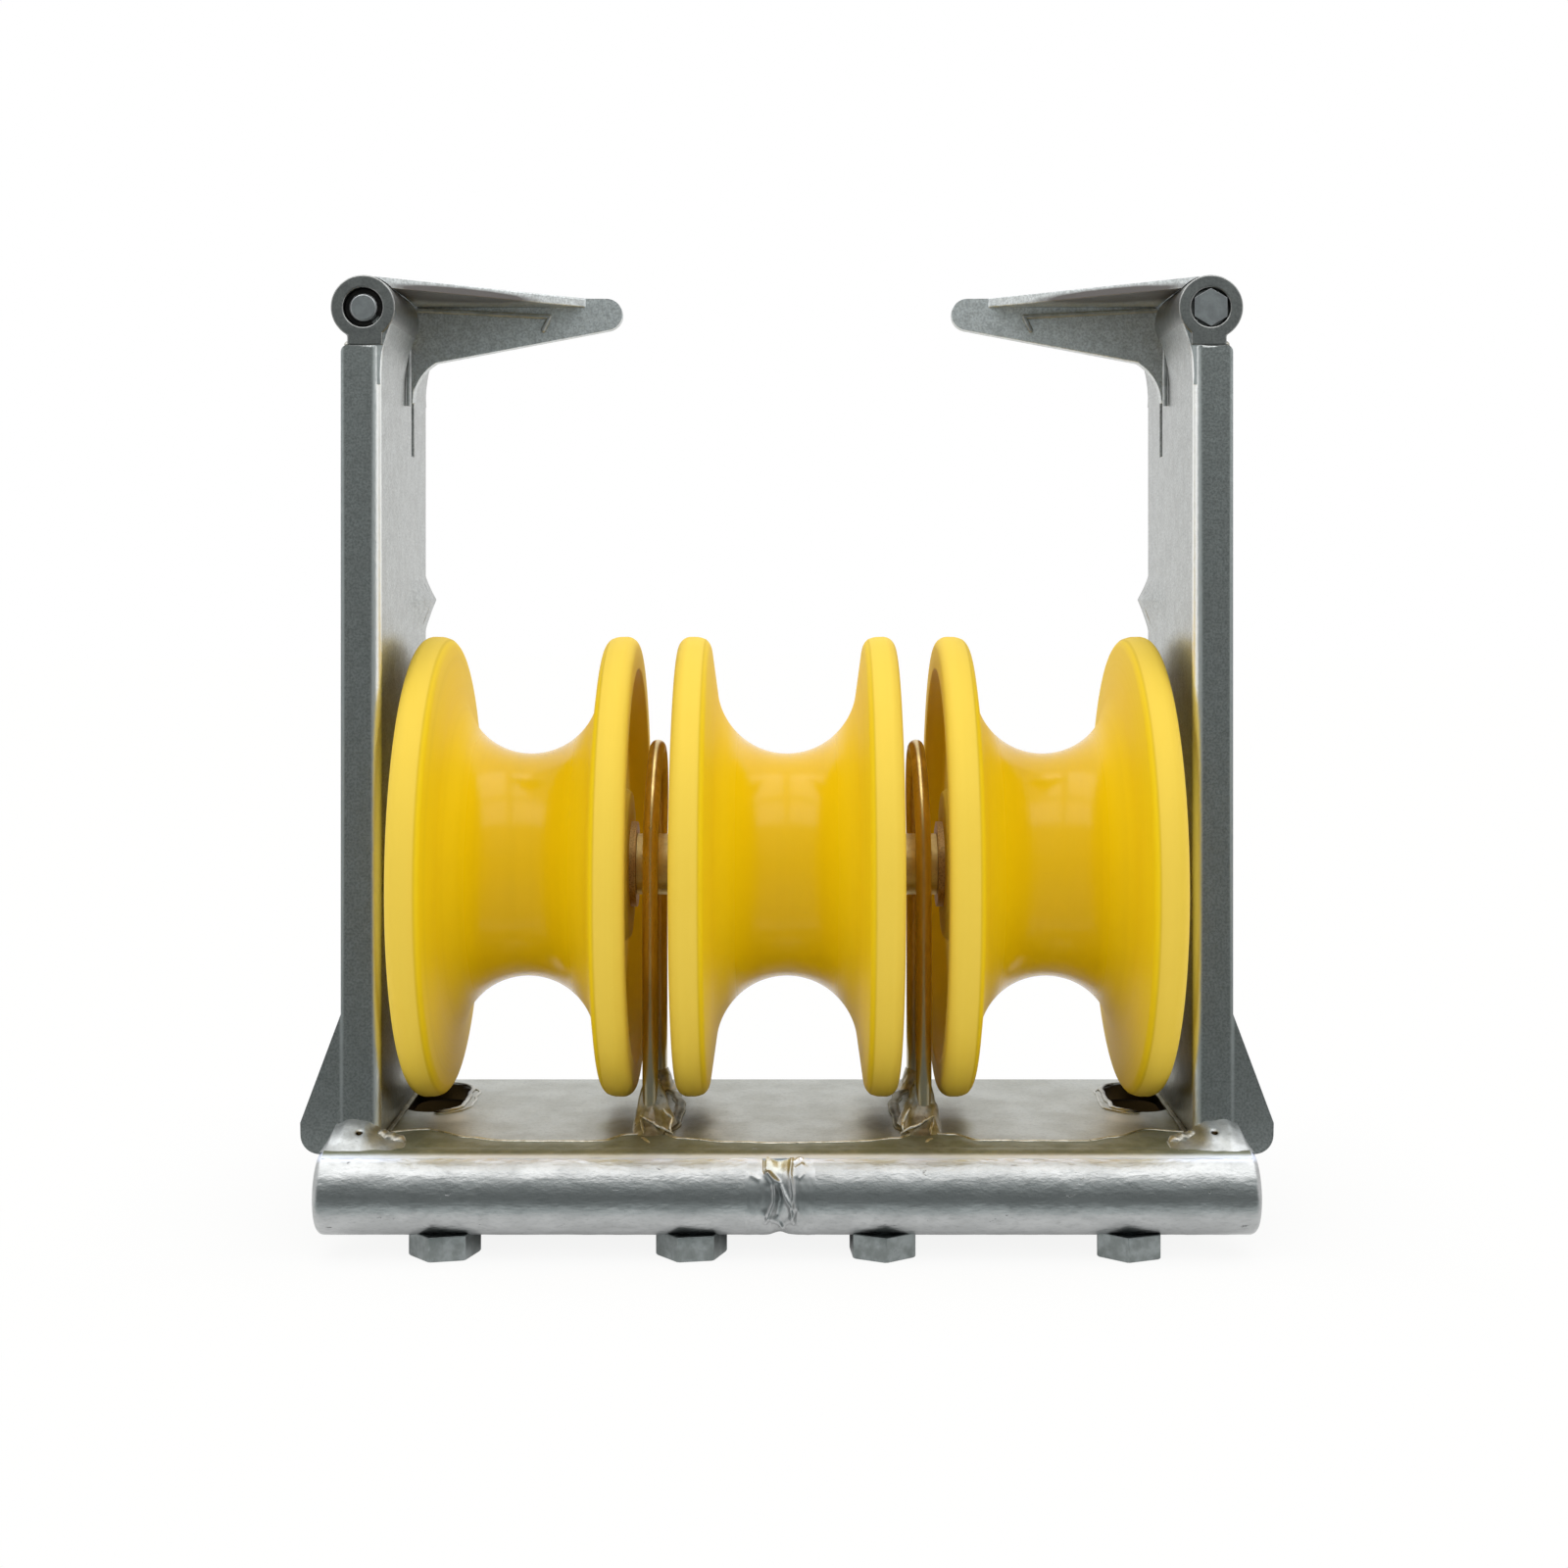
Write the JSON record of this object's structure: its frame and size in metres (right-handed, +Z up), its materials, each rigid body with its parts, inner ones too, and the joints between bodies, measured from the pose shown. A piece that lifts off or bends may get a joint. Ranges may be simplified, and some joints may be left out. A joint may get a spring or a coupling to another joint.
{
  "type": "cable pulley block",
  "caption": "Steel U frame that carries hourglass rollers side by side on one axle, with wire dividers between them and sprung pivoting gates closing its mouth.",
  "frame": {"origin": "on the ground straight below the middle of the axle, which is the middle of the bounding box's bottom", "axes": "+X along the axle to the right as seen from the front bar, +Y back from the front bar, +Z up"},
  "size_m": [0.302, 0.15, 0.2994],
  "materials": {
    "zinc_plate": "zinc plated, brushed",
    "zinc_upright": "zinc plated sheet",
    "bar_steel": "zinc plated, satin",
    "weld_metal": "rippled weld",
    "bolt_steel": "dark plated",
    "axle_steel": "turned",
    "roller_yellow": "moulded, satin gloss",
    "bush_bronze": "turned bronze",
    "wire_steel": "drawn wire, zinc plated",
    "knuckle_steel": "zinc plated",
    "pin_steel": "turned",
    "gate_steel": "zinc plated",
    "spring_steel": "spring wire"
  },
  "bodies": {
    "frame": {"base_plate": "zinc_plate", "front_bar_left": "bar_steel", "front_bar_right": "bar_steel", "front_bar_weld": "weld_metal", "front_bolts": "bolt_steel", "upright_left": "zinc_upright", "upright_right": "zinc_upright", "axle": "axle_steel", "axle_spacer_far_left": "axle_steel", "axle_spacer_left": "axle_steel", "axle_spacer_right": "axle_steel", "axle_spacer_far_right": "axle_steel", "axle_washers": "axle_steel", "axle_nuts": "axle_steel", "divider_wire_left": "wire_steel", "divider_wire_right": "wire_steel", "hinge_knuckles_left": "knuckle_steel", "hinge_knuckles_right": "knuckle_steel", "hinge_pin_left": "pin_steel", "hinge_pin_right": "pin_steel", "hinge_clips_left": "pin_steel", "hinge_clip_right": "pin_steel", "gate_spring_left": "spring_steel", "gate_spring_right": "spring_steel"},
    "roller_left": {"roller_left": "roller_yellow", "roller_bushes_left": "bush_bronze"},
    "roller_middle": {"roller_middle": "roller_yellow", "roller_bushes_middle": "bush_bronze"},
    "roller_right": {"roller_right": "roller_yellow", "roller_bushes_right": "bush_bronze"},
    "gate_left": {"gate_finger_left": "gate_steel", "gate_stop_left": "gate_steel", "gate_spring_arm_left": "spring_steel"},
    "gate_right": {"gate_finger_right": "gate_steel", "gate_stop_right": "gate_steel", "gate_spring_arm_right": "spring_steel"}
  },
  "joints": [
    {"name": "roller_left_spin", "type": "hinge", "parent": "frame", "child": "roller_left", "pos_m": [-0.0846, 0, 0.1111], "axis": [1, 0, 0], "continuous": true},
    {"name": "roller_middle_spin", "type": "hinge", "parent": "frame", "child": "roller_middle", "pos_m": [0, 0, 0.1111], "axis": [1, 0, 0], "continuous": true},
    {"name": "roller_right_spin", "type": "hinge", "parent": "frame", "child": "roller_right", "pos_m": [0.0846, 0, 0.1111], "axis": [1, 0, 0], "continuous": true},
    {"name": "gate_left_swing", "type": "hinge", "parent": "frame", "child": "gate_left", "pos_m": [-0.1316, 0.0151, 0.2894], "axis": [0, 1, 0], "range_deg": [0, 72], "stiffness_Nm_per_rad": 0.12, "springref_deg": -34.38},
    {"name": "gate_right_swing", "type": "hinge", "parent": "frame", "child": "gate_right", "pos_m": [0.1316, 0.0151, 0.2894], "axis": [0, -1, 0], "range_deg": [0, 72], "stiffness_Nm_per_rad": 0.12, "springref_deg": -34.38}
  ]
}
